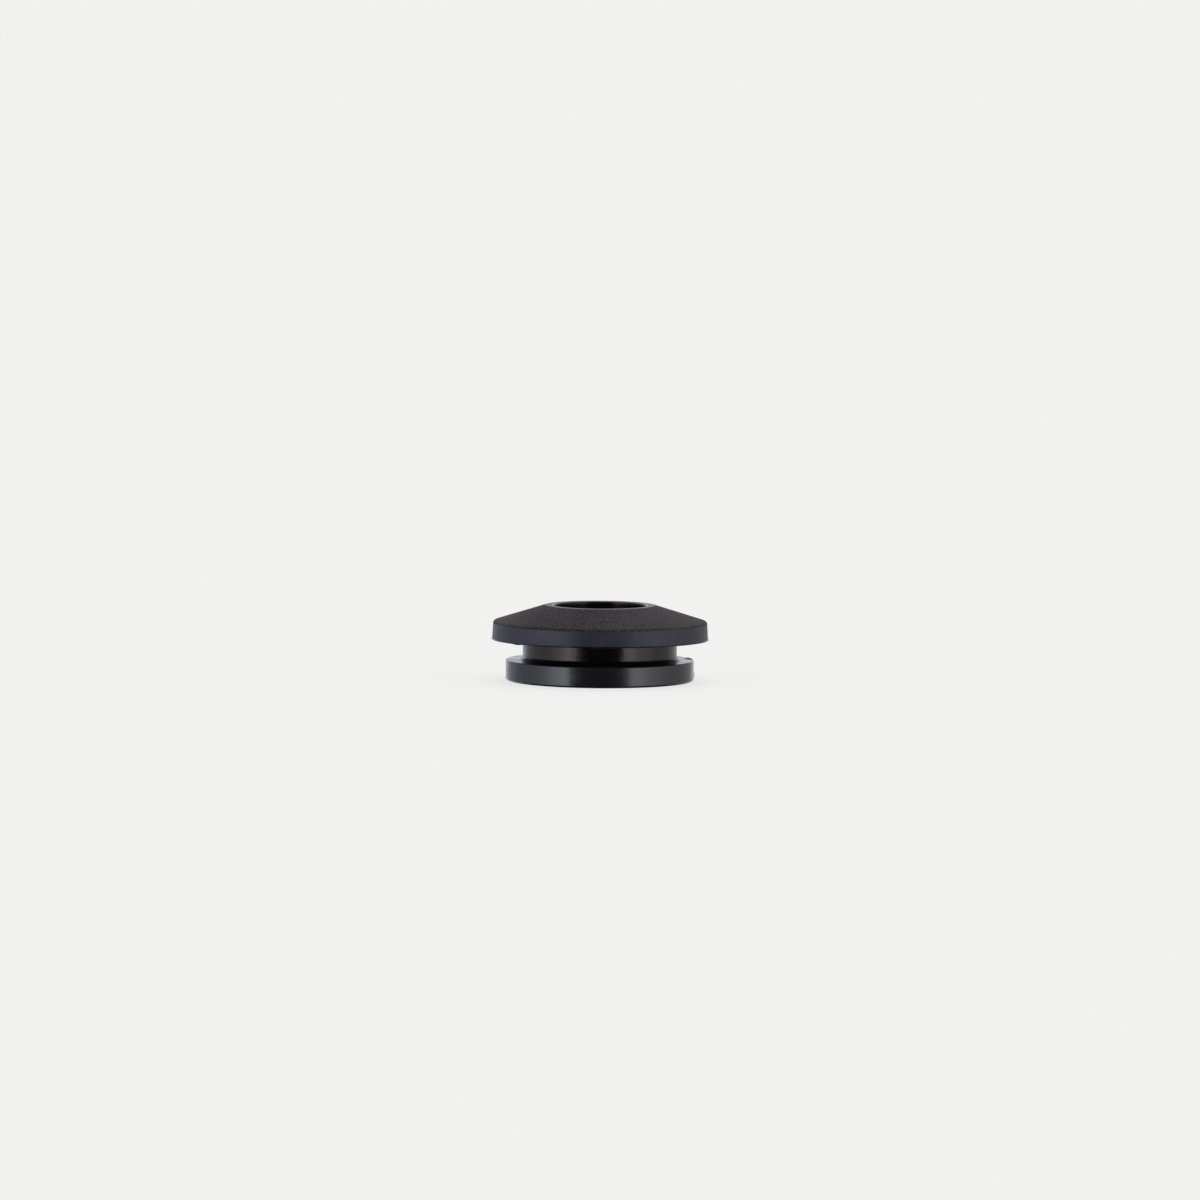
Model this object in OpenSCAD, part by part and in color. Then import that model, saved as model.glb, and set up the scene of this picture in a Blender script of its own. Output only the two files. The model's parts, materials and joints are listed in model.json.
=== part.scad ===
// Rubber panel grommet, moulded in one piece and turned about Z.
// A conical upper flange with a straight rim covers the panel hole, the neck fills it, and a
// smaller lower flange holds the panel's edge from below. One straight bore runs through.
// Sizes are in millimetres, the underside stands on Z = 0 and the cone points up.

/* [Panel fit] */
// Diameter of the panel hole that the neck fills
panel_hole_d = 20; // [17:0.1:30]
// Width of the groove that takes the panel's edge
groove_w = 2.65; // [1.2:0.05:6]

/* [Bore] */
// Diameter of the bore that grips a tube or a cable
bore_d = 12; // [4:0.1:14]
// Radius of the soft edge at both mouths of the bore
bore_mouth_r = 0.2; // [0.05:0.05:0.5]

/* [Upper flange] */
// Reach of the upper flange past the panel hole, at the lower edge of its rim
upper_reach = 4; // [2.5:0.05:8]
// Height of the straight rim
rim_h = 2.35; // [1:0.05:5]
// Draft of the rim, in degrees, that lets it leave the mould
rim_draft = 3.3; // [0:0.1:8]
// Rise of the cone from the rim to the flat ring round the bore
cone_h = 2.1; // [0.6:0.01:5]
// Width of the flat ring round the upper mouth of the bore
top_ring_w = 1.15; // [0.6:0.05:2.5]
// Radius of the corner between the rim and the cone
rim_corner_r = 0.4; // [0.05:0.05:0.8]

/* [Lower flange] */
// Reach of the lower flange past the panel hole
lower_reach = 2.2; // [1:0.05:5]
// Thickness of the lower flange
lower_flange_t = 2.7; // [1.2:0.05:6]
// Radius of the lower flange's upper edge
lower_edge_r = 0.15; // [0.05:0.05:0.5]
// Radius of the edge round the underside
base_edge_r = 0.35; // [0.05:0.05:0.6]

/* [Neck] */
// Radius of the fillet where the neck meets the lower flange
neck_root_r = 0.8; // [0.1:0.05:1.2]
// Radius of the fillet where the neck meets the upper flange
neck_head_r = 0.25; // [0.1:0.05:1]

/* [Parting line] */
// Width of the thin lip of flash round the rim's lower edge
flash_w = 0.1; // [0.02:0.01:0.3]
// Height of the lip of flash where it leaves the rim
flash_h = 0.16; // [0.05:0.01:0.5]

/* [Hidden] */
rubber_colour = [0.16, 0.16, 0.17];
full_turn_fn = 180;
fillet_steps = 8;

bore_r = bore_d / 2;
neck_r = panel_hole_d / 2;
lower_r = neck_r + lower_reach;
rim_base_r = neck_r + upper_reach;
top_ring_r = bore_r + top_ring_w;

seat_z = lower_flange_t + groove_w;
flash_z = seat_z + flash_h;
rim_top_z = seat_z + rim_h;
top_z = rim_top_z + cone_h;

// Radius of the drafted rim wall at a height
function rim_r(z) = rim_base_r - (z - seat_z) * tan(rim_draft);

// Corners of the half section, up the outside and back down the bore:
// distance from the axis, height, radius of the round at the corner
CORNERS = [
    [bore_r, 0, bore_mouth_r],
    [lower_r, 0, base_edge_r],
    [lower_r, lower_flange_t, lower_edge_r],
    [neck_r, lower_flange_t, neck_root_r],
    [neck_r, seat_z, neck_head_r],
    [rim_base_r + flash_w, seat_z, 0],
    [rim_r(flash_z), flash_z, 0],
    [rim_r(rim_top_z), rim_top_z, rim_corner_r],
    [top_ring_r, top_z, 0],
    [bore_r, top_z, bore_mouth_r],
];

function corner_at(i) = CORNERS[(i + len(CORNERS)) % len(CORNERS)];

function place_of(corner) = [corner[0], corner[1]];

function direction(v) = v / norm(v);

// Points of the arc that rounds the corner at b, between its neighbours a and c. The arc
// touches both walls and takes at most half of the shorter one, so a fillet never outgrows it.
function rounded(a, b, c, radius) =
    let (
        back = direction(a - b),
        ahead = direction(c - b),
        half_angle = acos(back * ahead) / 2,
        run = min(radius / tan(half_angle), norm(a - b) / 2, norm(c - b) / 2),
        arc_r = run * tan(half_angle),
        centre = b + direction(back + ahead) * arc_r / sin(half_angle),
        spoke = b + back * run - centre,
        last_spoke = b + ahead * run - centre,
        start = atan2(spoke[1], spoke[0]),
        sweep = sign(cross(spoke, last_spoke)) * (180 - 2 * half_angle)
    )
    [for (step = [0:fillet_steps])
        let (angle = start + sweep * step / fillet_steps)
        centre + arc_r * [cos(angle), sin(angle)]];

// The corner's own point where it is sharp, or else the points of its arc
function corner_points(i) =
    let (
        here = place_of(corner_at(i)),
        radius = corner_at(i)[2]
    )
    radius == 0 ? [here] : rounded(place_of(corner_at(i - 1)), here, place_of(corner_at(i + 1)), radius);

module half_section() {
    polygon([for (i = [0:len(CORNERS) - 1]) each corner_points(i)]);
}

module grommet() {
    color(rubber_colour)
        rotate_extrude($fn = full_turn_fn)
            half_section();
}

grommet();
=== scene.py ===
import json
import math

import bpy
import numpy as np
from bpy.props import FloatProperty, FloatVectorProperty, IntProperty, PointerProperty
from mathutils import Matrix, Vector


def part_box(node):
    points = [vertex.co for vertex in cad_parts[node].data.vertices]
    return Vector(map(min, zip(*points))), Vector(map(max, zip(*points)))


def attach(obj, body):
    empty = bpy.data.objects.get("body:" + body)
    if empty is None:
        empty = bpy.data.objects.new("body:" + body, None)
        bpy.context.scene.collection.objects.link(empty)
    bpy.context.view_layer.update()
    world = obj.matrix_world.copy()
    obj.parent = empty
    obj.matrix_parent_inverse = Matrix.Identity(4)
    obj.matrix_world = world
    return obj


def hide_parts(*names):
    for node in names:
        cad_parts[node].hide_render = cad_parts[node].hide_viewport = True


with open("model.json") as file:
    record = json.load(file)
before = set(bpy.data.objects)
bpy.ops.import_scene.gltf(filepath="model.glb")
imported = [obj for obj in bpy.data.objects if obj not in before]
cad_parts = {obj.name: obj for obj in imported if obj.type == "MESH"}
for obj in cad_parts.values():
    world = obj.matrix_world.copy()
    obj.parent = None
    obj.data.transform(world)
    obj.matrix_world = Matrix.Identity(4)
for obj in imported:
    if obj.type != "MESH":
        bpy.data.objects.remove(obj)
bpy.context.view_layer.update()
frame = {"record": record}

bl_info = {
    "name": "Rubber Grommet",
    "version": (1, 0, 0),
    "blender": (4, 5, 0),
    "location": "3D View > Sidebar > Grommet",
    "description": "Moulded rubber panel grommet with its finish, on a plain pale stage",
    "category": "Add Mesh",
}

MM = 0.001
NODE = "grommet"

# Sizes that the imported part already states
MOUNTS = {mount["name"]: mount for mount in frame["record"]["mounts"]}
BORE_RADIUS = MOUNTS["bore"]["dims"]["r_mm"] * MM
NECK_RADIUS = MOUNTS["panel_groove"]["dims"]["r_mm"] * MM
GROOVE_WIDTH = MOUNTS["panel_groove"]["dims"]["length_mm"] * MM
SEAT_HEIGHT = MOUNTS["panel_seat"]["pos_m"][2]
OUTER_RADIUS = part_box(NODE)[1][0]
TOP_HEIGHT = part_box(NODE)[1][2]


class GrommetSizes(bpy.types.PropertyGroup):
    """Sizes of the grommet's section and of the faults its mould left"""

    lower_reach: FloatProperty(
        name="Lower reach", description="Reach of the lower flange past the neck",
        default=2.2 * MM, min=0.0, unit="LENGTH", precision=5)
    rim_height: FloatProperty(
        name="Rim height", description="Height of the upper flange's straight rim",
        default=2.35 * MM, min=0.0, unit="LENGTH", precision=5)
    rim_draft: FloatProperty(
        name="Rim draft", description="Lean of the rim that lets it leave the mould",
        default=math.radians(3.3), min=0.0, unit="ROTATION")
    ring_width: FloatProperty(
        name="Ring width", description="Width of the flat ring round the bore's upper mouth",
        default=1.15 * MM, min=0.0, unit="LENGTH", precision=5)
    rim_corner: FloatProperty(
        name="Rim corner", description="Radius between the rim and the cone",
        default=0.4 * MM, min=0.0, unit="LENGTH", precision=5)
    root_fillet: FloatProperty(
        name="Root fillet", description="Fillet between the neck and the lower flange",
        default=0.8 * MM, min=0.0, unit="LENGTH", precision=5)
    head_fillet: FloatProperty(
        name="Head fillet", description="Fillet between the neck and the upper flange",
        default=0.25 * MM, min=0.0, unit="LENGTH", precision=5)
    lower_edge: FloatProperty(
        name="Lower edge", description="Radius of the lower flange's upper edge",
        default=0.15 * MM, min=0.0, unit="LENGTH", precision=5)
    base_edge: FloatProperty(
        name="Base edge", description="Radius of the edge round the underside",
        default=0.35 * MM, min=0.0, unit="LENGTH", precision=5)
    mouth_edge: FloatProperty(
        name="Mouth edge", description="Radius of the soft edge at both mouths of the bore",
        default=0.2 * MM, min=0.0, unit="LENGTH", precision=5)
    flash_width: FloatProperty(
        name="Flash width", description="Width of the lip of flash round the rim's lower edge",
        default=0.1 * MM, min=0.0, unit="LENGTH", precision=5)
    flash_height: FloatProperty(
        name="Flash height", description="Height of the lip of flash where it leaves the rim",
        default=0.16 * MM, min=0.0, unit="LENGTH", precision=5)
    waviness: FloatProperty(
        name="Waviness", description="How far the moulded walls stray from true",
        default=0.012 * MM, min=0.0, unit="LENGTH", precision=6)
    columns: IntProperty(
        name="Columns", description="Steps of the surface round the axis",
        default=600, min=64, max=1440)
    step: FloatProperty(
        name="Step", description="Longest step of the surface along the section",
        default=0.34 * MM, min=0.05 * MM, unit="LENGTH", precision=5)


class GrommetFinish(bpy.types.PropertyGroup):
    """Colours of the rubber as each part of the mould leaves it, and of the painted sheen on the cone
    """

    cone_colour: FloatVectorProperty(
        name="Cone", description="Matte, faintly brown rubber of the cone",
        default=(0.0048, 0.0040, 0.0044), size=3, min=0.0, max=1.0, subtype="COLOR")
    # Also the colour of the painted sheen that pales the cone's left and right ends
    fleck_and_sheen_colour: FloatVectorProperty(
        name="Flecks", description="Pale bloom in the cone's grain",
        default=(0.068, 0.061, 0.064), size=3, min=0.0, max=1.0, subtype="COLOR")
    rim_colour: FloatVectorProperty(
        name="Rim", description="Satin, faintly blue rubber of the rim",
        default=(0.0190, 0.0212, 0.0335), size=3, min=0.0, max=1.0, subtype="COLOR")
    neck_colour: FloatVectorProperty(
        name="Neck", description="Polished rubber of the neck and the bore",
        default=(0.0042, 0.0034, 0.0038), size=3, min=0.0, max=1.0, subtype="COLOR")
    neck_tint: FloatVectorProperty(
        name="Neck gloss", description="Warm tint of the neck's and the bore's reflections",
        default=(1.0, 0.87, 0.82), size=3, min=0.0, max=1.0, subtype="COLOR")
    lower_colour: FloatVectorProperty(
        name="Lower flange", description="Polished rubber of the lower flange",
        default=(0.0120, 0.0110, 0.0140), size=3, min=0.0, max=1.0, subtype="COLOR")
    grain_size: FloatProperty(
        name="Grain size", description="Width of one grain of the matte mould face",
        default=0.33 * MM, min=0.01 * MM, unit="LENGTH", precision=5)


class GrommetStage(bpy.types.PropertyGroup):
    """The pale floor, the studio round it and the camera"""

    pale_colour: FloatVectorProperty(
        name="Backdrop", description="Colour of the floor and the backdrop",
        default=(0.8796, 0.8796, 0.8631), size=3, min=0.0, max=1.0, subtype="COLOR")
    floor_radius: FloatProperty(
        name="Floor radius", description="Radius of the round floor",
        default=4.0, min=0.1, unit="LENGTH")
    floor_glow: FloatProperty(
        name="Floor glow", description="Share of the floor's tone that takes no shadow",
        default=0.8, min=0.0, max=1.0, subtype="FACTOR")
    glow_level: FloatProperty(
        name="Glow level", description="Strength of that share, which evens floor and backdrop",
        default=1.05, min=0.0)
    left_tint: FloatVectorProperty(
        name="Left tint", description="Colour of the light from the left",
        default=(0.97, 1.0, 1.12), size=3, min=0.0, subtype="COLOR")
    right_tint: FloatVectorProperty(
        name="Right tint", description="Colour of the light from the right",
        default=(1.0, 1.0, 1.05), size=3, min=0.0, subtype="COLOR")
    above_level: FloatProperty(
        name="Above level", description="Level of the light above and behind",
        default=0.95, min=0.0)
    overhead_level: FloatProperty(
        name="Overhead level", description="Level of the light straight above",
        default=2.0, min=0.0)
    above_lean: FloatProperty(
        name="Above lean", description="How much stronger that light is on the right",
        default=0.5, min=0.0)
    above_tint: FloatVectorProperty(
        name="Above tint", description="Colour of the light above and behind",
        default=(1.0, 0.97, 0.97), size=3, min=0.0, subtype="COLOR")
    camera_rise: FloatProperty(
        name="Camera rise", description="Angle of the camera's view above the floor",
        default=math.radians(5.0), unit="ROTATION")
    camera_roll: FloatProperty(
        name="Camera roll", description="Lean of the camera, which lowers the right side",
        default=math.radians(0.43), unit="ROTATION")
    photo_side: FloatProperty(
        name="Photo side", description="Side of the square photograph in pixels",
        default=1200.0, min=1.0)
    photo_focal: FloatProperty(
        name="Photo focal length", description="Focal length of the photograph in pixels",
        default=9000.0, min=1.0)
    pixel_size: FloatProperty(
        name="Pixel size", description="Size of one of the photograph's pixels at the part",
        default=0.1297 * MM, min=0.0, unit="LENGTH", precision=6)
    foot_pixel: FloatVectorProperty(
        name="Foot pixel", description="Pixel at which the centre of the underside lies",
        default=(599.65, 680.3), size=2)


# Small lumps that the mould left on the outside: turn from the front in degrees, with the
# right side positive, then in millimetres the radius and height, the reach outwards, the
# rise and the half width
NIBS = (
    (-90.0, 14.1, 5.38, 0.04, 0.00, 0.20),
    (90.0, 14.1, 5.36, 0.03, 0.00, 0.16),
    (-49.0, 14.1, 5.37, 0.02, -0.09, 0.60),
    (-91.0, 12.1, 0.10, 0.09, 0.00, 0.20),
    (92.0, 12.2, 0.80, 0.13, 0.00, 0.26),
    (98.0, 11.9, 2.70, 0.00, 0.15, 0.32),
    (102.0, 11.7, 2.70, 0.00, 0.18, 0.34),
)

# Light round the studio: turn from the camera's side in degrees, with the right side
# positive, and the level there; straight lines join the levels
STUDIO_LEVELS = (
    (-180, 1.0), (-160, 0.95), (-142, 0.65), (-120, 0.55), (-91, 0.75), (-80, 1.0),
    (-69, 1.45), (-54, 2.35), (-46, 3.0), (-39, 3.0), (-33, 0.02), (32, 0.02),
    (38, 2.5), (46, 2.6), (57, 1.85), (67, 1.5), (78, 1.2), (90, 0.85),
    (103, 0.65), (115, 0.55), (141, 0.55), (160, 0.8), (180, 1.0),
)

# Rise above the floor, in degrees, over which the light round the studio gives way to the light
# above, and over which the light straight above comes in
RISE_OF_UPPER_LIGHT = (26.0, 42.0)
RISE_OF_OVERHEAD_LIGHT = (58.0, 76.0)
# Turn in degrees, to either side, over which the left tint gives way to the right one
TINTS_MEET = 25.0

# Random waves of the walls: their seed, their number and the most of them in one turn
WAVE_SEED = 11
WAVE_COUNT = 24
MOST_WAVES = 33

# Swing of the flash's ragged edge and its limits, as shares of the flash's width
RAGGED_SWING = 0.2
RAGGED_INWARDS = -0.9
RAGGED_OUTWARDS = 0.1

# Points in the arc of one rounded corner, and the angle past which an edge shows as sharp
ARC_POINTS = 9
SHARP_ANGLE = math.radians(35.0)

# The floor lies this far under the part, in rings and columns that start near the middle
FLOOR_DROP = 0.02 * MM
FLOOR_RINGS = 24
FLOOR_COLUMNS = 96
FIRST_RING = 0.01

RUBBER_IOR = 1.52

# Finishes in the order of the body's materials
FINISHES = ("cone", "rim", "neck", "lower", "ring")

# Shares of the fleck colour on the cone: in the flecks, in the bloom and in the painted sheen,
# standing in for side light, that pales its left and right ends
CONE_FLECKS = 0.86
CONE_BLOOM = 0.10
CONE_LEFT_PAINTED_SHEEN = 0.40
CONE_RIGHT_PAINTED_SHEEN = 0.26

# Shares of the fleck colour on the rim: in the flecks, in the bloom and in the drag marks
RIM_FLECKS = 0.14
RIM_BLOOM = 0.10
RIM_MARKS = 0.18

# Share of the fleck colour in the flecks of the polished faces
POLISHED_FLECKS = 0.05


def direction(vector):
    """The vector divided by its own length."""
    return vector / np.linalg.norm(vector)


def rounded(before, corner, after, radius):
    """Points of the arc that touches both walls of a corner.

    The arc starts radius / tan(half the corner's angle) before the corner, at most half of the
    shorter wall, and its centre lies on the line that halves the angle.
    """
    if radius == 0.0:
        return corner[None, :]
    back, ahead = direction(before - corner), direction(after - corner)
    half = math.acos(float(back @ ahead)) / 2
    shorter = min(np.linalg.norm(before - corner), np.linalg.norm(after - corner))
    run = min(radius / math.tan(half), shorter / 2)
    arc_radius = run * math.tan(half)
    centre = corner + direction(back + ahead) * arc_radius / math.sin(half)
    first, last = corner + back * run - centre, corner + ahead * run - centre
    turning = math.copysign(math.pi - 2 * half, first[0] * last[1] - first[1] * last[0])
    angles = math.atan2(first[1], first[0]) + turning * np.linspace(0.0, 1.0, ARC_POINTS)
    return centre + arc_radius * np.column_stack((np.cos(angles), np.sin(angles)))


def section_corners(sizes):
    """Corners of the half section, up the outside and back down the bore.

    Each has its distance from the axis, its height, the radius of its round and the finish of
    the wall that leaves it.
    """
    rim_foot = OUTER_RADIUS - sizes.flash_width
    rim_top = SEAT_HEIGHT + sizes.rim_height
    lean = math.tan(sizes.rim_draft)
    lower_radius = NECK_RADIUS + sizes.lower_reach
    lower_top = SEAT_HEIGHT - GROOVE_WIDTH
    flash_top = SEAT_HEIGHT + sizes.flash_height
    return (
        (BORE_RADIUS, 0.0, sizes.mouth_edge, "lower"),
        (lower_radius, 0.0, sizes.base_edge, "lower"),
        (lower_radius, lower_top, sizes.lower_edge, "lower"),
        (NECK_RADIUS, lower_top, sizes.root_fillet, "neck"),
        (NECK_RADIUS, SEAT_HEIGHT, sizes.head_fillet, "neck"),
        (OUTER_RADIUS, SEAT_HEIGHT, 0.0, "neck"),
        (rim_foot - sizes.flash_height * lean, flash_top, 0.0, "rim"),
        (rim_foot - sizes.rim_height * lean, rim_top, sizes.rim_corner, "cone"),
        (BORE_RADIUS + sizes.ring_width, TOP_HEIGHT, 0.0, "ring"),
        (BORE_RADIUS, TOP_HEIGHT, sizes.mouth_edge, "neck"),
    )


def section_outline(sizes):
    """Closed outline of the half section, its finish at each point and its length so far.

    The corners' arcs are joined by straight walls, which are split into equal steps.
    """
    corners = section_corners(sizes)
    places = np.array([corner[:2] for corner in corners])
    count = len(corners)
    arcs = [
        rounded(places[i - 1], places[i], places[(i + 1) % count], corners[i][2])
        for i in range(count)
    ]
    points, finishes = [], []
    for i, arc in enumerate(arcs):
        finish = FINISHES.index(corners[i][3])
        following = arcs[(i + 1) % count][0]
        splits = max(1, math.ceil(np.linalg.norm(following - arc[-1]) / sizes.step))
        shares = np.linspace(0.0, 1.0, splits + 1)[1:-1, None]
        wall = arc[-1] + (following - arc[-1]) * shares
        points += [arc, wall]
        finishes.append(np.full(len(arc) + len(wall), finish))
    outline = np.concatenate(points)
    steps = np.linalg.norm(np.roll(outline, -1, axis=0) - outline, axis=1)
    run = np.concatenate(([0.0], np.cumsum(steps)))
    return outline, np.concatenate(finishes), run


def wave(turns, run, random):
    """Smooth field over the wall, about one high.

    It is a sum of cosines of whole waves round the axis plus a slope along the section, each
    with its own random phase, with lower ones for the faster waves.
    """
    field = np.zeros(np.broadcast(turns, run).shape)
    total = 0.0
    for _ in range(WAVE_COUNT):
        round_waves = int(random.integers(1, MOST_WAVES + 1))
        along = random.uniform(-1.0, 1.0) / MM
        weight = 1.0 / math.sqrt(round_waves)
        phase = random.uniform(0.0, 2 * math.pi)
        field += weight * np.cos(round_waves * turns + along * run + phase)
        total += weight ** 2
    return field / math.sqrt(total)


def grommet_surface(sizes):
    """Points of the body as a grid: the section's outline carried round the axis.

    Each point is the outline's point turned about the axis, moved outwards by the waviness, by
    the ragged edge of the flash and by each nib. A nib is a round hump of the height
    exp(-(distance / half width) ** 2), which also lifts the surface by its rise.
    """
    outline, finishes, run = section_outline(sizes)
    random = np.random.default_rng(WAVE_SEED)
    turns = np.linspace(0.0, 2 * math.pi, sizes.columns, endpoint=False)[None, :]
    radius, height = outline[:, 0][:, None], outline[:, 1][:, None]
    run_here = run[:-1][:, None]

    outside = np.clip((radius - BORE_RADIUS - sizes.mouth_edge) / sizes.ring_width, 0.0, 1.0)
    stray = sizes.waviness * wave(turns, run_here, random) * outside

    flash_share = np.clip((radius - OUTER_RADIUS + sizes.flash_width) / sizes.flash_width, 0.0, 1.0)
    low_down = np.clip(1.0 - (height - SEAT_HEIGHT) / sizes.flash_height, 0.0, 1.0)
    ragged = RAGGED_SWING * wave(2 * turns, 0.0 * run_here, random) * flash_share * low_down
    push = stray + sizes.flash_width * np.clip(ragged, RAGGED_INWARDS, RAGGED_OUTWARDS)

    level = np.broadcast_to(height, push.shape)
    for turn, nib_radius, nib_height, reach, rise, half_width in NIBS:
        across = np.angle(np.exp(1j * (turns - math.radians(turn)))) * radius / MM
        outwards, upwards = radius / MM - nib_radius, height / MM - nib_height
        hump = np.exp(-(across ** 2 + outwards ** 2 + upwards ** 2) / half_width ** 2) * MM
        push = push + reach * hump
        level = level + rise * hump

    reach_here = radius + push
    x = reach_here * np.sin(turns)
    y = -reach_here * np.cos(turns)
    return np.stack((x, y, level), axis=-1), finishes, run


def grid_faces(rows, columns):
    """Corners of every square of a grid that closes on itself both ways."""
    row = np.arange(rows)[:, None]
    column = np.arange(columns)[None, :]
    next_row, next_column = (row + 1) % rows, (column + 1) % columns
    corners = (
        row * columns + column,
        row * columns + next_column,
        next_row * columns + next_column,
        next_row * columns + column,
    )
    return np.stack(np.broadcast_arrays(*corners), axis=-1).reshape(-1, 4)


def new_object(name, points, faces):
    """Mesh object at the origin with the points and faces given as whole arrays."""
    mesh = bpy.data.meshes.new(name)
    mesh.vertices.add(len(points))
    mesh.vertices.foreach_set("co", points.astype(np.float32).ravel())
    mesh.loops.add(faces.size)
    mesh.loops.foreach_set("vertex_index", faces.astype(np.int32).ravel())
    mesh.polygons.add(len(faces))
    starts = np.arange(0, faces.size, faces.shape[1], dtype=np.int32)
    mesh.polygons.foreach_set("loop_start", starts)
    mesh.update(calc_edges=True)
    mesh.validate()
    piece = bpy.data.objects.new(name, mesh)
    bpy.context.scene.collection.objects.link(piece)
    return piece


def put(tree, kind, inputs=None, **settings):
    """Adds a node to the tree, with its settings, and links or sets its inputs."""
    node = tree.nodes.new(kind)
    for name, value in settings.items():
        setattr(node, name, value)
    for key, value in (inputs or {}).items():
        if isinstance(value, bpy.types.NodeSocket):
            tree.links.new(value, node.inputs[key])
        else:
            node.inputs[key].default_value = value
    return node


def math_node(tree, operation, *values):
    """Result of a sum on one to three values or sockets."""
    return put(tree, "ShaderNodeMath", dict(enumerate(values)), operation=operation).outputs[0]


def smooth_step(tree, value, start, end):
    """Rises smoothly from 0 at start to 1 at end, or falls where end is the lower one."""
    inputs = {"Value": value, "From Min": start, "From Max": end}
    return put(tree, "ShaderNodeMapRange", inputs, interpolation_type="SMOOTHSTEP").outputs["Result"]


def mix_colours(tree, share, first, second):
    """The first colour at share 0 and the second at share 1."""
    node = put(tree, "ShaderNodeMix", data_type="RGBA")
    for index, value in ((0, share), (6, first), (7, second)):
        if isinstance(value, bpy.types.NodeSocket):
            tree.links.new(value, node.inputs[index])
        else:
            node.inputs[index].default_value = value
    return node.outputs[2]


def opaque(colour):
    """The colour with a full alpha."""
    return (*colour, 1.0)


def new_group(name, inputs, outputs):
    """Node group with named sockets, and its input and output nodes."""
    group = bpy.data.node_groups.new(name, "ShaderNodeTree")
    for label, default in inputs:
        kind = "NodeSocketVector" if default is None else "NodeSocketFloat"
        socket = group.interface.new_socket(label, in_out="INPUT", socket_type=kind)
        if default is not None:
            socket.default_value = default
    for label in outputs:
        group.interface.new_socket(label, in_out="OUTPUT", socket_type="NodeSocketFloat")
    return group, group.nodes.new("NodeGroupInput").outputs, group.nodes.new("NodeGroupOutput")


def noise(tree, vector, size, detail=2.0, roughness=0.5):
    """Noise from 0 to 1 with lumps of about the given size, in the vector's own unit."""
    inputs = {"Vector": vector, "Scale": 1.0 / size, "Detail": detail, "Roughness": roughness}
    return put(tree, "ShaderNodeTexNoise", inputs).outputs["Fac"]


def grain_group():
    """Moulded grain: a height for the bump and a mask of pale flecks, from 0 to 1."""
    group, given, result = new_group("moulded_grain", (("Vector", None),), ("Height", "Flecks"))
    coarse = noise(group, given["Vector"], 1.0, detail=3.0, roughness=0.6)
    fine = noise(group, given["Vector"], 0.31, detail=4.0, roughness=0.7)
    height = math_node(group, "MULTIPLY_ADD", coarse, 0.5, math_node(group, "MULTIPLY", fine, 0.5))
    group.links.new(height, result.inputs["Height"])
    group.links.new(smooth_step(group, height, 0.42, 0.66), result.inputs["Flecks"])
    return group


def bloom_group():
    """Bloom: broad soft patches where the rubber has hazed over, from 0 to 1."""
    group, given, result = new_group(
        "rubber_bloom", (("Vector", None), ("Patch size", 3.0)), ("Haze",))
    scale = math_node(group, "DIVIDE", 1.0, given["Patch size"])
    broad = put(group, "ShaderNodeTexNoise",
                {"Vector": given["Vector"], "Scale": scale, "Detail": 3.0}).outputs["Fac"]
    haze = smooth_step(group, broad, 0.36, 0.64)
    group.links.new(haze, result.inputs["Haze"])
    return group


def scaled_by(tree, vector, factor):
    """The vector times one number."""
    node = put(tree, "ShaderNodeVectorMath", {0: vector}, operation="SCALE")
    node.inputs["Scale"].default_value = factor
    return node.outputs[0]


def in_millimetres(tree):
    """Object coordinates in millimetres, so that node sizes read as real ones."""
    return scaled_by(tree, put(tree, "ShaderNodeTexCoord").outputs["Object"], 1.0 / MM)


def new_rubber(name, gloss):
    """Material with a Principled shader of the given specular level, its tree and shader."""
    material = bpy.data.materials.new(name)
    material.use_nodes = True
    tree = material.node_tree
    shader = tree.nodes["Principled BSDF"]
    shader.inputs["IOR"].default_value = RUBBER_IOR
    shader.inputs["Specular IOR Level"].default_value = gloss
    return material, tree, shader


def use_group(tree, name, vector, **values):
    """Places a shared group in the material, with its own values."""
    node = put(tree, "ShaderNodeGroup", node_tree=bpy.data.node_groups[name])
    tree.links.new(vector, node.inputs["Vector"])
    for label, value in values.items():
        node.inputs[label.replace("_", " ").capitalize()].default_value = value
    return node.outputs


def bump(tree, height, distance):
    """Normal of a surface whose height runs over the distance in metres."""
    inputs = {"Height": height, "Distance": distance, "Strength": 1.0}
    return put(tree, "ShaderNodeBump", inputs).outputs["Normal"]


def cone_rubber(finish):
    """Matte grained face: pale flecks and bloom over brown-black rubber, with a painted sheen that
    pales both ends.
    """
    material, tree, shader = new_rubber("cone_rubber", gloss=0.19)
    place = in_millimetres(tree)
    grain = use_group(tree, "moulded_grain", scaled_by(tree, place, MM / finish.grain_size))
    bloom = use_group(tree, "rubber_bloom", place, patch_size=4.0)
    # Painted sheen: the cone's left and right ends are paled by their place across the part, standing
    # in for side light
    aside = put(tree, "ShaderNodeSeparateXYZ", {0: place}).outputs["X"]
    right = math_node(tree, "MULTIPLY", smooth_step(tree, aside, -4.0, 10.0), CONE_RIGHT_PAINTED_SHEEN)
    left = math_node(tree, "MULTIPLY", smooth_step(tree, aside, -7.5, -13.0), CONE_LEFT_PAINTED_SHEEN)
    painted_side_sheen = math_node(tree, "ADD", left, right)
    # Share of the paler colour from the bloom and from the painted sheen at the ends
    pale_share = math_node(tree, "MULTIPLY_ADD", bloom["Haze"], CONE_BLOOM, painted_side_sheen)
    share = math_node(tree, "MULTIPLY_ADD", grain["Flecks"], CONE_FLECKS, pale_share)
    colour = mix_colours(tree, share, opaque(finish.cone_colour), opaque(finish.fleck_and_sheen_colour))
    tree.links.new(colour, shader.inputs["Base Color"])
    rough = math_node(tree, "MULTIPLY_ADD", grain["Height"], 0.14, 0.68)
    tree.links.new(rough, shader.inputs["Roughness"])
    normal = bump(tree, grain["Height"], 0.12 * MM)
    tree.links.new(normal, shader.inputs["Normal"])
    return material


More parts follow.
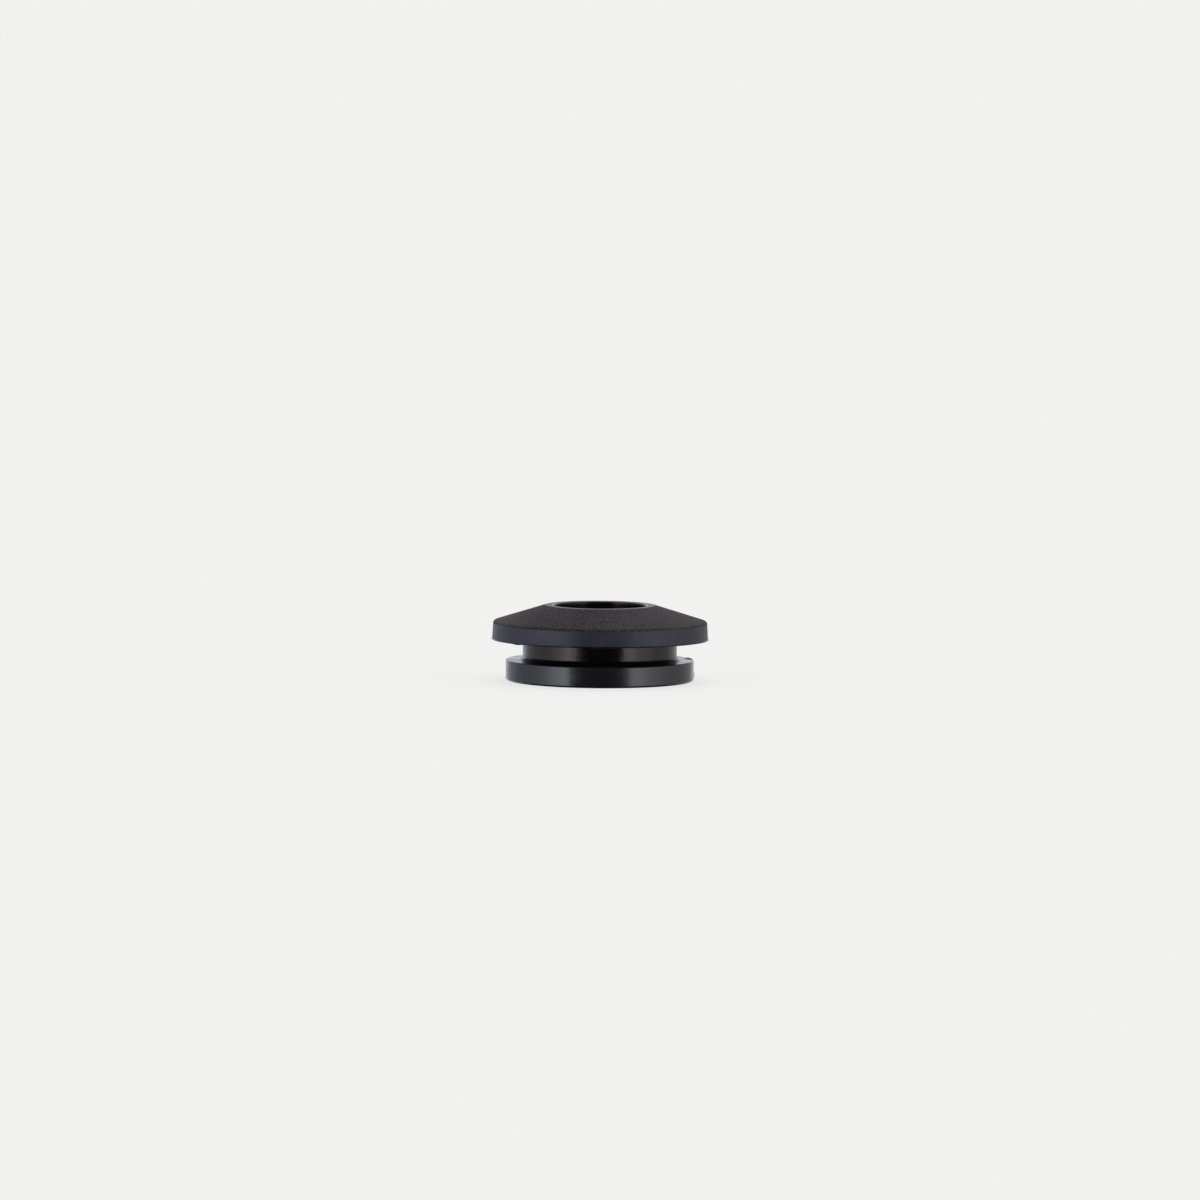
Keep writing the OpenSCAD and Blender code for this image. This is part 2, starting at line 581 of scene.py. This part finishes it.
def rim_rubber(finish):
    """Satin rim over blue-black rubber, with a few upright drag marks where it has hazed."""
    material, tree, shader = new_rubber("rim_rubber", gloss=0.33)
    place = in_millimetres(tree)
    grain = use_group(tree, "moulded_grain", scaled_by(tree, place, MM / finish.grain_size))
    bloom = use_group(tree, "rubber_bloom", place, patch_size=2.4)
    upright = put(tree, "ShaderNodeMapping", {"Vector": place, "Scale": (1.0, 1.0, 0.16)})
    drag = noise(tree, upright.outputs["Vector"], 0.5, detail=2.0)
    marks = math_node(tree, "MULTIPLY", smooth_step(tree, drag, 0.5, 0.72), bloom["Haze"])
    marked = math_node(tree, "MULTIPLY", marks, RIM_MARKS)
    pale_share = math_node(tree, "MULTIPLY_ADD", bloom["Haze"], RIM_BLOOM, marked)
    share = math_node(tree, "MULTIPLY_ADD", grain["Flecks"], RIM_FLECKS, pale_share)
    colour = mix_colours(tree, share, opaque(finish.rim_colour), opaque(finish.fleck_and_sheen_colour))
    tree.links.new(colour, shader.inputs["Base Color"])
    rough = math_node(tree, "MULTIPLY_ADD", bloom["Haze"], 0.08, 0.43)
    tree.links.new(rough, shader.inputs["Roughness"])
    tree.links.new(bump(tree, grain["Height"], 0.03 * MM), shader.inputs["Normal"])
    return material


def polished_rubber(name, colour, finish, roughness, gloss, tint=(1.0, 1.0, 1.0)):
    """Glossy face from a polished part of the mould: fine turning marks and a slow ripple."""
    material, tree, shader = new_rubber(name, gloss)
    shader.inputs["Specular Tint"].default_value = opaque(tint)
    place = in_millimetres(tree)
    grain = use_group(tree, "moulded_grain", scaled_by(tree, place, MM / finish.grain_size))
    bloom = use_group(tree, "rubber_bloom", place, patch_size=2.2)
    share = math_node(tree, "MULTIPLY", grain["Flecks"], POLISHED_FLECKS)
    mixed = mix_colours(tree, share, opaque(colour), opaque(finish.fleck_and_sheen_colour))
    tree.links.new(mixed, shader.inputs["Base Color"])
    level = put(tree, "ShaderNodeMapping", {"Vector": place, "Scale": (0.06, 0.06, 1.0)})
    marks = noise(tree, level.outputs["Vector"], 0.22, detail=3.0)
    marked = math_node(tree, "MULTIPLY_ADD", marks, 0.12, roughness - 0.085)
    rough = math_node(tree, "MULTIPLY_ADD", bloom["Haze"], 0.05, marked)
    tree.links.new(rough, shader.inputs["Roughness"])
    ripple = noise(tree, place, 1.6, detail=2.0)
    fine = math_node(tree, "MULTIPLY", grain["Height"], 0.004)
    height = math_node(tree, "MULTIPLY_ADD", ripple, 0.03, fine)
    tree.links.new(bump(tree, height, MM), shader.inputs["Normal"])
    return material


class OBJECT_OT_grommet_body(bpy.types.Operator):
    """Makes the moulded rubber body, with a finish for each part of its mould"""

    bl_idname = "grommet.body"
    bl_label = "Make Body"

    def execute(self, context):
        sizes = context.scene.grommet_sizes
        finish = context.scene.grommet_finish
        points, finishes, run = grommet_surface(sizes)
        rows, columns = points.shape[:2]
        body = new_object("grommet_body", points.reshape(-1, 3), grid_faces(rows, columns))
        mesh = body.data

        grain_group()
        bloom_group()
        mesh.materials.append(cone_rubber(finish))
        mesh.materials.append(rim_rubber(finish))
        mesh.materials.append(
            polished_rubber("neck_rubber", finish.neck_colour, finish, 0.20, 0.37, finish.neck_tint))
        mesh.materials.append(
            polished_rubber("lower_rubber", finish.lower_colour, finish, 0.21, 0.5))
        mesh.materials.append(
            polished_rubber("ring_rubber", finish.cone_colour, finish, 0.42, 0.36))
        mesh.polygons.foreach_set("material_index", np.repeat(finishes, columns).astype(np.int32))
        mesh.polygons.foreach_set("use_smooth", np.ones(rows * columns, dtype=bool))
        self.add_uv_map(mesh, rows, columns, run)
        mesh.set_sharp_from_angle(angle=SHARP_ANGLE)
        mesh.update()

        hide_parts(NODE)
        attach(body, "root")
        return {"FINISHED"}

    @staticmethod
    def add_uv_map(mesh, rows, columns, run):
        """Turn round the axis across, and length along the section up, both from 0 to 1."""
        across = np.array([0, 1, 1, 0])
        along = np.array([0, 0, 1, 1])
        column = (np.arange(columns)[None, :, None] + across) / columns
        row = (run / run[-1])[np.arange(rows)[:, None, None] + along]
        pairs = np.stack(np.broadcast_arrays(column, row), axis=-1)
        layer = mesh.uv_layers.new(name="turn_and_run")
        layer.data.foreach_set("uv", pairs.astype(np.float32).ravel())


def floor_surface(radius):
    """Flat round floor: rings that widen by the same factor, from the middle to the radius."""
    rings, columns = FLOOR_RINGS, FLOOR_COLUMNS
    lengths = np.concatenate(([0.0], np.geomspace(FIRST_RING, radius, rings)))
    turns = np.linspace(0.0, 2 * math.pi, columns, endpoint=False)
    x = lengths[:, None] * np.cos(turns)[None, :]
    y = lengths[:, None] * np.sin(turns)[None, :]
    points = np.stack((x, y, np.full_like(x, -FLOOR_DROP)), axis=-1).reshape(-1, 3)
    row = np.arange(rings)[:, None]
    column = np.arange(columns)[None, :]
    following = (column + 1) % columns
    corners = (
        row * columns + column, (row + 1) * columns + column,
        (row + 1) * columns + following, row * columns + following,
    )
    return points, np.stack(np.broadcast_arrays(*corners), axis=-1).reshape(-1, 4)


class OBJECT_OT_grommet_stage(bpy.types.Operator):
    """Makes the pale floor, the studio light and the camera"""

    bl_idname = "grommet.stage"
    bl_label = "Make Stage"

    def execute(self, context):
        stage = context.scene.grommet_stage
        self.make_floor(stage)
        self.make_studio(context.scene, stage)
        self.make_camera(context.scene, stage)
        context.scene.view_settings.view_transform = "Standard"
        return {"FINISHED"}

    def make_floor(self, stage):
        """Pale floor, part of whose tone the camera sees without shadow."""
        floor = new_object("floor", *floor_surface(stage.floor_radius))
        material = bpy.data.materials.new("pale_floor")
        material.use_nodes = True
        tree = material.node_tree
        tree.nodes.clear()
        lit = put(tree, "ShaderNodeBsdfDiffuse", {"Color": opaque(stage.pale_colour)})
        glow = put(tree, "ShaderNodeEmission",
                   {"Color": opaque(stage.pale_colour), "Strength": stage.glow_level})
        seen = put(tree, "ShaderNodeLightPath").outputs["Is Camera Ray"]
        share = math_node(tree, "MULTIPLY", seen, stage.floor_glow)
        mixed = put(tree, "ShaderNodeMixShader", {0: share, 1: lit.outputs[0], 2: glow.outputs[0]})
        put(tree, "ShaderNodeOutputMaterial", {"Surface": mixed.outputs[0]})
        floor.data.materials.append(material)
        floor.visible_glossy = False

    def make_studio(self, scene, stage):
        """World that the camera sees as plain pale, and that lights the part by direction.

        That light is strong at both sides, soft behind and above, and dark near the camera.
        Glossy rays see it too, and not the pale background.
        """
        world = bpy.data.worlds.new("studio")
        world.use_nodes = True
        scene.world = world
        tree = world.node_tree
        tree.nodes.clear()
        way = put(tree, "ShaderNodeTexCoord").outputs["Generated"]
        parts = put(tree, "ShaderNodeSeparateXYZ", {0: way}).outputs
        forward = math_node(tree, "MULTIPLY", parts["Y"], -1.0)
        turn = math_node(tree, "DEGREES", math_node(tree, "ARCTAN2", parts["X"], forward))
        rise = math_node(tree, "DEGREES", math_node(tree, "ARCSINE", parts["Z"]))
        height = math_node(tree, "ABSOLUTE", rise)
        upper_start, upper_end = RISE_OF_UPPER_LIGHT
        low_down = smooth_step(tree, height, upper_end, upper_start)
        behind = smooth_step(tree, parts["Y"], 0.0, 0.4)
        above = math_node(tree, "MULTIPLY", smooth_step(tree, rise, upper_start, upper_end), behind)
        rightwards = smooth_step(tree, turn, -TINTS_MEET, TINTS_MEET)
        side = mix_colours(tree, rightwards, opaque(stage.left_tint), opaque(stage.right_tint))

        around = math_node(tree, "MULTIPLY", self.level_by_turn(tree, turn), low_down)
        glow = self.tinted(tree, around, side)
        lean = math_node(tree, "MULTIPLY_ADD", parts["X"], stage.above_lean, stage.above_level)
        straight_up = smooth_step(tree, rise, *RISE_OF_OVERHEAD_LIGHT)
        overhead = math_node(tree, "MULTIPLY", straight_up, stage.overhead_level)
        above = math_node(tree, "MULTIPLY_ADD", above, lean, overhead)
        glow = self.added(tree, glow, self.tinted(tree, above, stage.above_tint))

        path = put(tree, "ShaderNodeLightPath").outputs
        seen = math_node(tree, "MAXIMUM", path["Is Camera Ray"], path["Is Transmission Ray"])
        studio = put(tree, "ShaderNodeBackground", {"Color": glow})
        pale = put(tree, "ShaderNodeBackground", {"Color": opaque(stage.pale_colour)})
        mixed = put(tree, "ShaderNodeMixShader", {0: seen, 1: studio.outputs[0], 2: pale.outputs[0]})
        put(tree, "ShaderNodeOutputWorld", {"Surface": mixed.outputs[0]})

    @staticmethod
    def level_by_turn(tree, turn):
        """Light level at each turn, by a ramp through the stated levels."""
        strongest = max(level for _, level in STUDIO_LEVELS)
        share = math_node(tree, "MULTIPLY_ADD", turn, 1.0 / 360.0, 0.5)
        ramp = put(tree, "ShaderNodeValToRGB", {"Fac": share})
        stops = ramp.color_ramp.elements
        while len(stops) < len(STUDIO_LEVELS):
            stops.new(0.5)
        for stop, (place, level) in zip(stops, STUDIO_LEVELS):
            stop.position = place / 360.0 + 0.5
            stop.color = opaque((level / strongest,) * 3)
        return math_node(tree, "MULTIPLY", ramp.outputs["Color"], strongest)

    @staticmethod
    def tinted(tree, amount, colour):
        """The colour times the amount."""
        inputs = {0: colour, "Scale": amount}
        return put(tree, "ShaderNodeVectorMath", inputs, operation="SCALE").outputs[0]

    @staticmethod
    def added(tree, first, second):
        """Sum of two colours."""
        return put(tree, "ShaderNodeVectorMath", {0: first, 1: second}, operation="ADD").outputs[0]

    def make_camera(self, scene, stage):
        """Camera whose view puts the centre of the underside at its pixel in the photograph."""
        data = bpy.data.cameras.new("camera")
        data.lens = data.sensor_width * stage.photo_focal / stage.photo_side
        data.clip_start = 0.01
        rise, roll = stage.camera_rise, stage.camera_roll
        back = Vector((0.0, -math.cos(rise), math.sin(rise)))
        upright = Vector((0.0, math.sin(rise), math.cos(rise)))
        right = Vector((1.0, 0.0, 0.0))
        leaning_up = upright * math.cos(roll) - right * math.sin(roll)
        leaning_right = leaning_up.cross(back)
        basis = Matrix((leaning_right, leaning_up, back)).transposed()
        middle = stage.photo_side / 2
        foot = Vector((stage.foot_pixel[0] - middle, middle - stage.foot_pixel[1], -stage.photo_focal))
        aim = foot.rotation_difference(Vector((0.0, 0.0, -1.0)))
        camera = bpy.data.objects.new("camera", data)
        turned = basis @ aim.to_matrix()
        camera.matrix_world = turned.to_4x4()
        camera.location = back * stage.photo_focal * stage.pixel_size
        scene.collection.objects.link(camera)
        scene.camera = camera


class VIEW3D_PT_grommet(bpy.types.Panel):
    """Lists the grommet's sizes, colours and pieces"""

    bl_label = "Grommet"
    bl_idname = "VIEW3D_PT_grommet"
    bl_space_type = "VIEW_3D"
    bl_region_type = "UI"
    bl_category = "Grommet"

    def draw(self, context):
        scene = context.scene
        for settings in (scene.grommet_sizes, scene.grommet_finish, scene.grommet_stage):
            box = self.layout.box()
            for name in settings.__annotations__:
                box.prop(settings, name)
        self.layout.operator(OBJECT_OT_grommet_body.bl_idname)
        self.layout.operator(OBJECT_OT_grommet_stage.bl_idname)


CLASSES = (
    GrommetSizes,
    GrommetFinish,
    GrommetStage,
    OBJECT_OT_grommet_body,
    OBJECT_OT_grommet_stage,
    VIEW3D_PT_grommet,
)


def register():
    for item in CLASSES:
        bpy.utils.register_class(item)
    bpy.types.Scene.grommet_sizes = PointerProperty(type=GrommetSizes)
    bpy.types.Scene.grommet_finish = PointerProperty(type=GrommetFinish)
    bpy.types.Scene.grommet_stage = PointerProperty(type=GrommetStage)


def unregister():
    del bpy.types.Scene.grommet_stage
    del bpy.types.Scene.grommet_finish
    del bpy.types.Scene.grommet_sizes
    for item in reversed(CLASSES):
        bpy.utils.unregister_class(item)


def main():
    register()
    bpy.ops.grommet.stage()
    bpy.ops.grommet.body()


if __name__ == "__main__":
    main()
